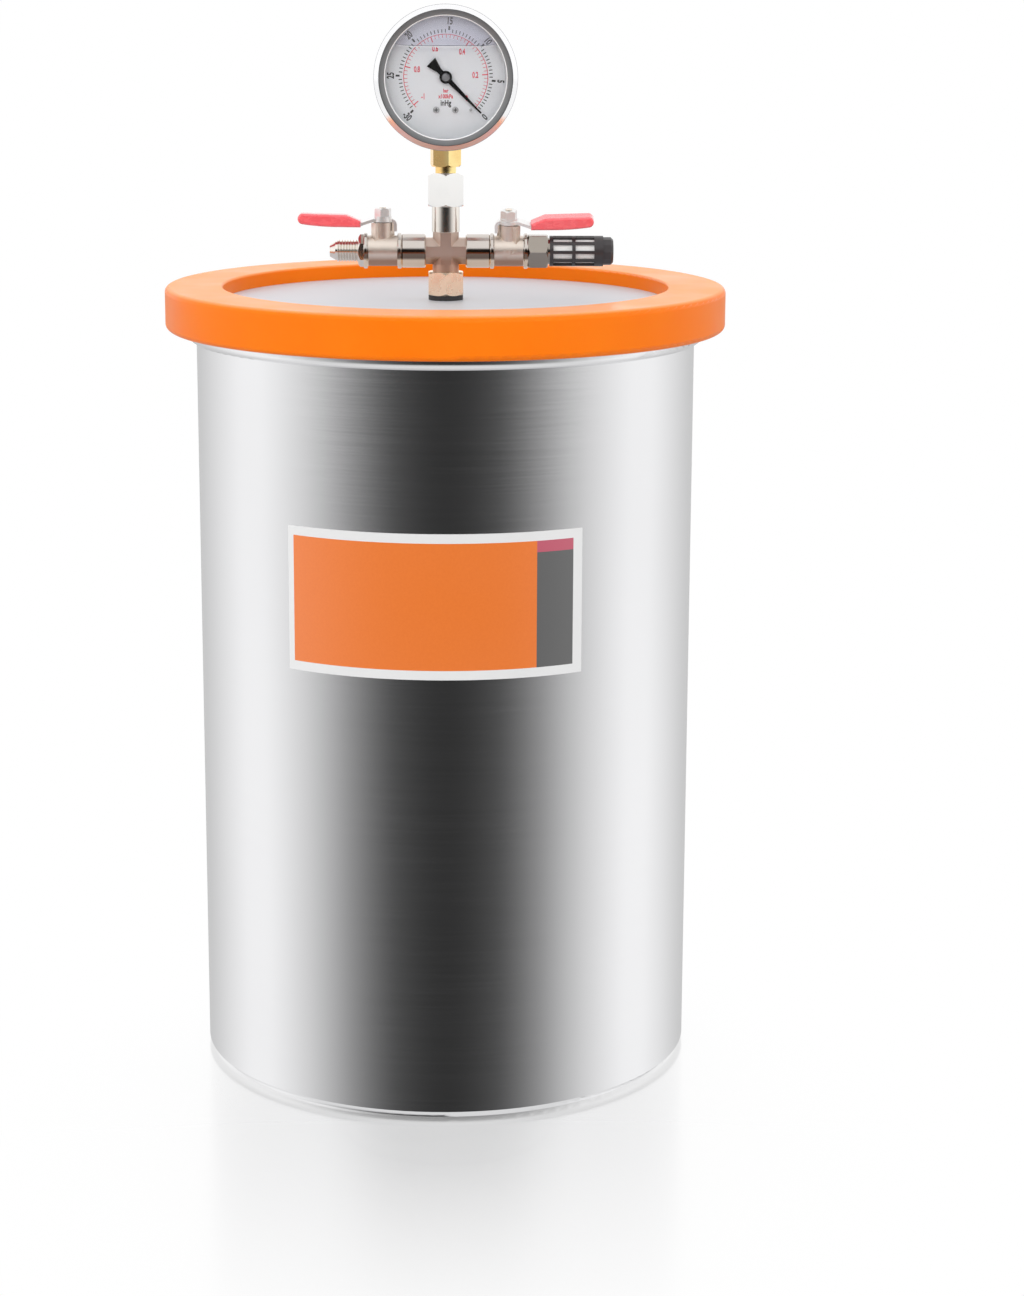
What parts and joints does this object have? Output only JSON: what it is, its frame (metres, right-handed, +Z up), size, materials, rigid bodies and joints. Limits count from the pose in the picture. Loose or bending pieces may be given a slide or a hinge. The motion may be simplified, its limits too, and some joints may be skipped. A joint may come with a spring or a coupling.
{
  "type": "vacuum chamber",
  "caption": "Tall drawn steel pot with a clear lid in a silicone ring, a cross fitting, two lever ball valves, an air filter and a dial gauge.",
  "frame": {"origin": "centre of the pot's base, on the surface it stands on", "axes": "+Z up along the pot's axis, -Y towards the front that the gauge faces, +X towards the air filter"},
  "size_m": [0.2806, 0.2806, 0.5344],
  "materials": {
    "pot_steel": "polished drawn stainless",
    "label_film": "printed film",
    "silicone": "smooth moulded silicone",
    "lid_glass": "clear polished",
    "black_rubber": "matt",
    "nickel": "nickel plated, cast and turned",
    "zinc_steel": "bright zinc",
    "red_vinyl": "dipped vinyl",
    "ptfe": "waxy white",
    "brass": "turned brass",
    "bronze": "drawn bronze",
    "black_plastic": "moulded",
    "porous_plastic": "sintered",
    "bezel_chrome": "bright",
    "case_steel": "satin",
    "window_glass": "clear",
    "dial_paint": "silver white print",
    "pointer_paint": "satin black"
  },
  "bodies": {
    "chamber": {"cross_fitting": "nickel", "filter_adapter": "nickel", "filter_cage": "black_plastic", "filter_cap": "black_plastic", "filter_element": "porous_plastic", "flare_fitting": "nickel", "gauge_bezel": "bezel_chrome", "gauge_case": "case_steel", "gauge_coupling": "nickel", "gauge_dial": "dial_paint", "gauge_dial_screws": "zinc_steel", "gauge_fill_plug": "black_rubber", "gauge_hairspring": "bronze", "gauge_pillars": "brass", "gauge_plates": "brass", "gauge_socket": "brass", "gauge_stop_pin": "zinc_steel", "gauge_tube": "bronze", "gauge_tube_tip": "brass", "gauge_window": "window_glass", "gauge_window_seal": "black_rubber", "label": "label_film", "left_valve_body": "nickel", "left_valve_packing": "ptfe", "left_valve_retainer": "nickel", "left_valve_seats": "ptfe", "lid_adapter": "nickel", "lid_gasket": "silicone", "lid_lock_nut": "nickel", "lid_plate": "lid_glass", "lid_washer_bottom": "black_rubber", "lid_washer_steel": "zinc_steel", "lid_washer_top": "black_rubber", "pot": "pot_steel", "right_valve_body": "nickel", "right_valve_packing": "ptfe", "right_valve_retainer": "nickel", "right_valve_seats": "ptfe"},
    "valve_left": {"left_lever": "zinc_steel", "left_lever_grip": "red_vinyl", "left_lever_nut": "zinc_steel", "left_valve_stem": "brass", "left_valve_ball": "bezel_chrome"},
    "valve_right": {"right_lever": "zinc_steel", "right_lever_grip": "red_vinyl", "right_lever_nut": "zinc_steel", "right_valve_stem": "brass", "right_valve_ball": "bezel_chrome"},
    "pointer": {"gauge_pointer": "pointer_paint", "gauge_pinion": "brass"},
    "sector": {"gauge_sector": "brass"},
    "link": {"gauge_link": "brass"}
  },
  "joints": [
    {"name": "left_valve_turn", "type": "hinge", "parent": "chamber", "child": "valve_left", "pos_m": [-0.0314, 0, 0.4133], "axis": [0, 0, 1], "range_deg": [-90, 0]},
    {"name": "right_valve_turn", "type": "hinge", "parent": "chamber", "child": "valve_right", "pos_m": [0.0314, 0, 0.4133], "axis": [0, -0.2079, 0.9781], "range_deg": [0, 90]},
    {"name": "pointer_turn", "type": "hinge", "parent": "chamber", "child": "pointer", "pos_m": [0, 0, 0.499], "axis": [0, -1, 0], "range_deg": [0, 270], "stiffness_Nm_per_rad": 0.002},
    {"name": "sector_turn", "type": "hinge", "parent": "chamber", "child": "sector", "pos_m": [0, 0, 0.4864], "axis": [0, -1, 0], "range_deg": [-45, 0]},
    {"name": "link_turn", "type": "hinge", "parent": "sector", "child": "link", "pos_m": [0.00462, 0, 0.48831], "axis": [0, -1, 0], "range_deg": [0, 56.35]}
  ],
  "couplings": [
    {"joint": "sector_turn", "follows": "pointer_turn", "ratio": -0.16667},
    {"joint": "link_turn", "follows": "pointer_turn", "ratio": 0.20869}
  ]
}
